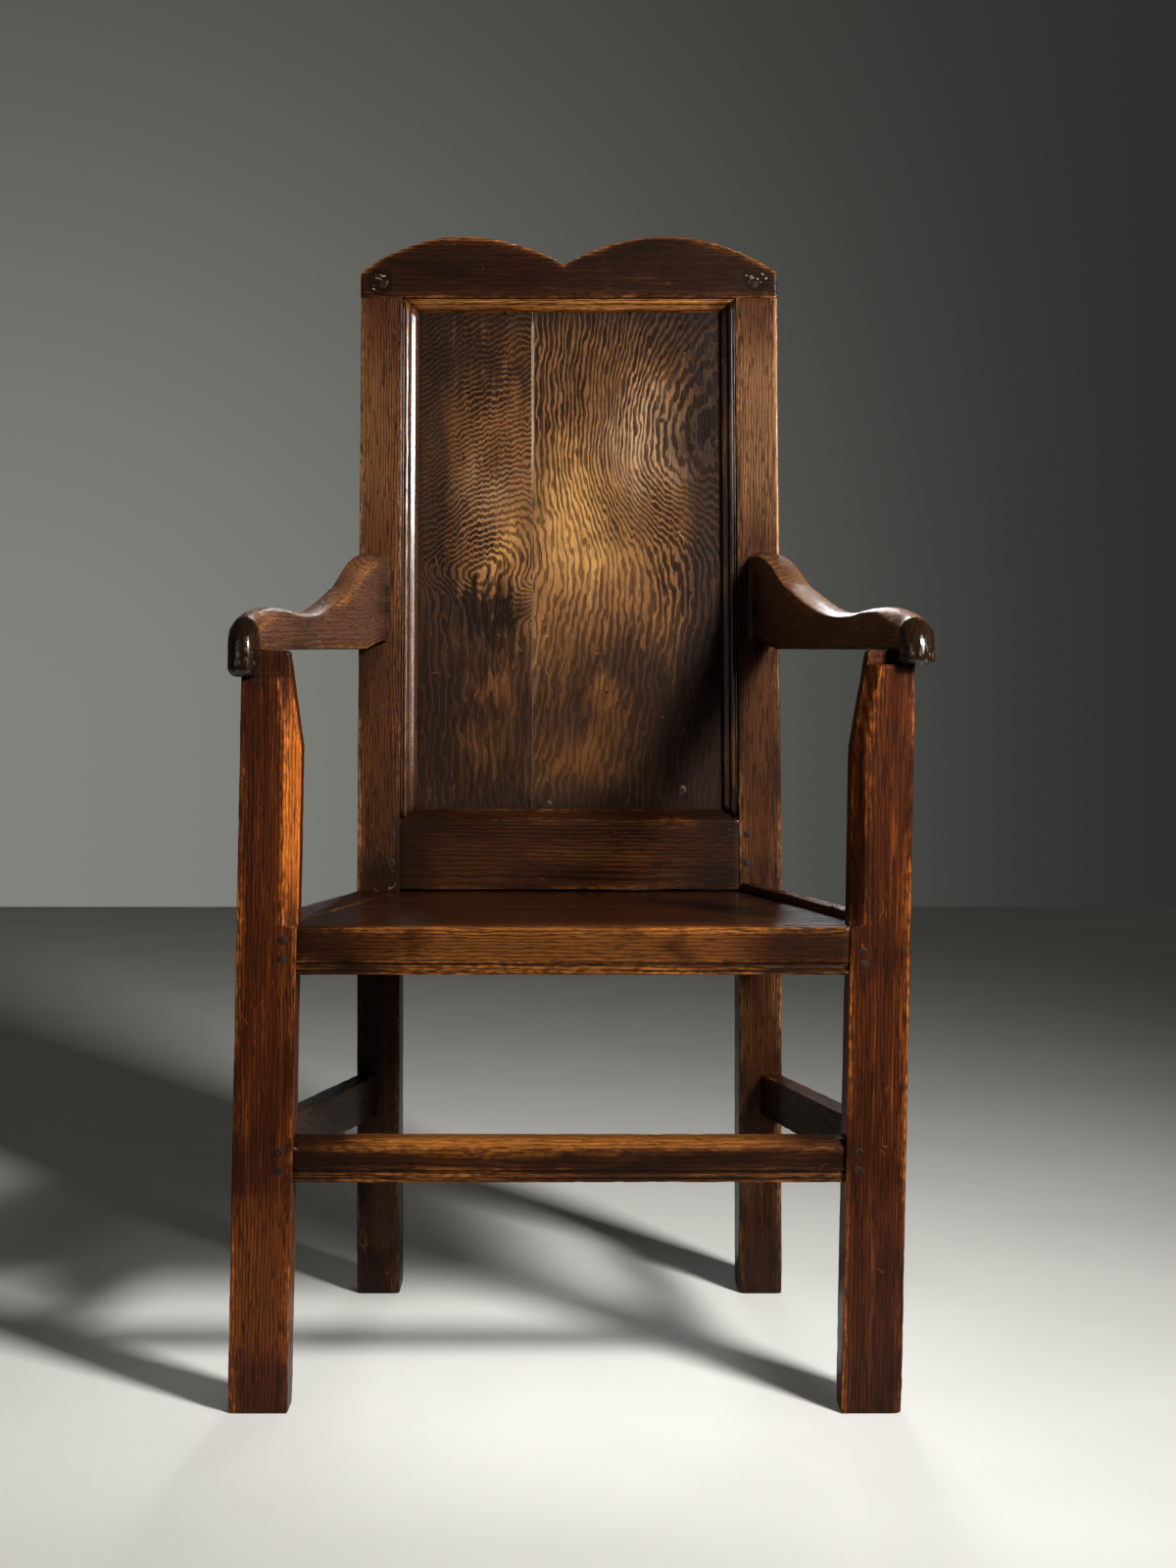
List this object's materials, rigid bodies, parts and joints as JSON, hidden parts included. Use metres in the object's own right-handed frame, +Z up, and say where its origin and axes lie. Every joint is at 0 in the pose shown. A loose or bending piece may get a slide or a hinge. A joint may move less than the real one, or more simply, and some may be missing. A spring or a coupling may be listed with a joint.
{
  "type": "armchair",
  "caption": "Joined panel-back armchair in dark waxed oak, with a double-arched crest rail, swept arms and a boarded seat.",
  "frame": {"origin": "on the floor, under the middle of the whole chair", "axes": "+Z up; the chair faces -Y; +X is to the right of someone looking at its front"},
  "size_m": [0.6394, 0.5158, 1.1678],
  "materials": {
    "frame_oak": "waxed",
    "arm_oak": "waxed",
    "panel_oak": "waxed",
    "seat_oak": "waxed",
    "moulding_oak": "waxed",
    "peg_oak": "waxed"
  },
  "bodies": {
    "root": {"front_leg_left": "frame_oak", "front_leg_right": "frame_oak", "back_post_left": "frame_oak", "back_post_right": "frame_oak", "crest_rail": "frame_oak", "back_bottom_rail": "frame_oak", "seat_front_rail": "frame_oak", "seat_side_rail_left": "frame_oak", "seat_side_rail_right": "frame_oak", "seat_back_rail": "frame_oak", "front_stretcher": "frame_oak", "side_stretcher_left": "frame_oak", "side_stretcher_right": "frame_oak", "arm_left": "arm_oak", "arm_right": "arm_oak", "back_panel_board_left": "panel_oak", "back_panel_board_right": "panel_oak", "seat_board_front": "seat_oak", "seat_board_rear": "seat_oak", "back_moulding_left": "moulding_oak", "back_moulding_right": "moulding_oak", "back_moulding_top": "moulding_oak", "seat_side_moulding": "moulding_oak", "crest_rail_pegs": "peg_oak", "bottom_rail_pegs": "peg_oak", "seat_front_rail_pegs": "peg_oak", "front_stretcher_pegs": "peg_oak", "seat_side_rail_pegs": "peg_oak", "side_stretcher_pegs": "peg_oak", "seat_back_rail_pegs": "peg_oak", "arm_pegs": "peg_oak", "seat_board_pins": "peg_oak", "seat_strip_pins": "peg_oak", "moulding_sprigs": "peg_oak"}
  },
  "joints": []
}
